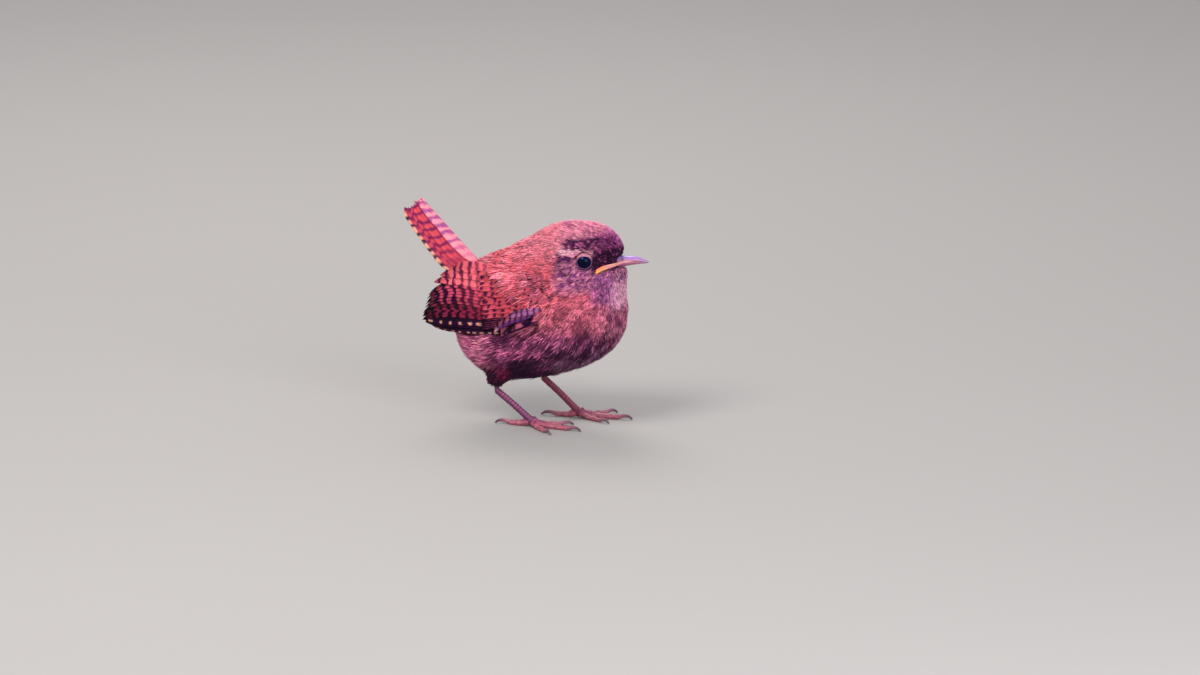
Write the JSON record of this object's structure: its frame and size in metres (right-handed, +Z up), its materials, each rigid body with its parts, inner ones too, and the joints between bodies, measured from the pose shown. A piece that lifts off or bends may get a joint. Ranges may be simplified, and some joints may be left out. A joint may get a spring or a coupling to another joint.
{
  "type": "wren",
  "caption": "Life-size Eurasian wren standing still, plumage fluffed round, barred wings folded, short barred tail cocked up, head turned slightly left, fine pointed bill with a yellow gape",
  "frame": {"origin": "middle of the bounding box, at floor level under the toes", "axes": "+X the way the body faces, +Y the bird's left, +Z up"},
  "size_m": [0.0804, 0.0372, 0.0719],
  "materials": {
    "plumage": "short soft body feathers, rufous red-brown above, paler and mottled below",
    "barred": "flight and tail feathers, rusty red with dark bars",
    "bill": "smooth horn, lilac-pink above and pink-orange below",
    "gape": "swollen yellow-orange skin, satin",
    "leg_skin": "scaled purple-red leg skin, satin",
    "claw": "dull horn",
    "eye": "wet, near black"
  },
  "bodies": {
    "root": {"head": "plumage", "neck": "plumage", "trunk": "plumage", "tail": "barred", "bill_upper": "bill", "bill_lower": "bill", "eye_left": "eye", "gape_left": "gape", "wing_left": "barred", "thigh_left": "plumage", "tarsus_left": "leg_skin", "toe_middle_left": "leg_skin", "claw_middle_left": "claw", "toe_inner_left": "leg_skin", "claw_inner_left": "claw", "toe_outer_left": "leg_skin", "claw_outer_left": "claw", "toe_hind_left": "leg_skin", "claw_hind_left": "claw", "eye_right": "eye", "gape_right": "gape", "wing_right": "barred", "thigh_right": "plumage", "tarsus_right": "leg_skin", "toe_middle_right": "leg_skin", "claw_middle_right": "claw", "toe_inner_right": "leg_skin", "claw_inner_right": "claw", "toe_outer_right": "leg_skin", "claw_outer_right": "claw", "toe_hind_right": "leg_skin", "claw_hind_right": "claw"}
  },
  "joints": []
}
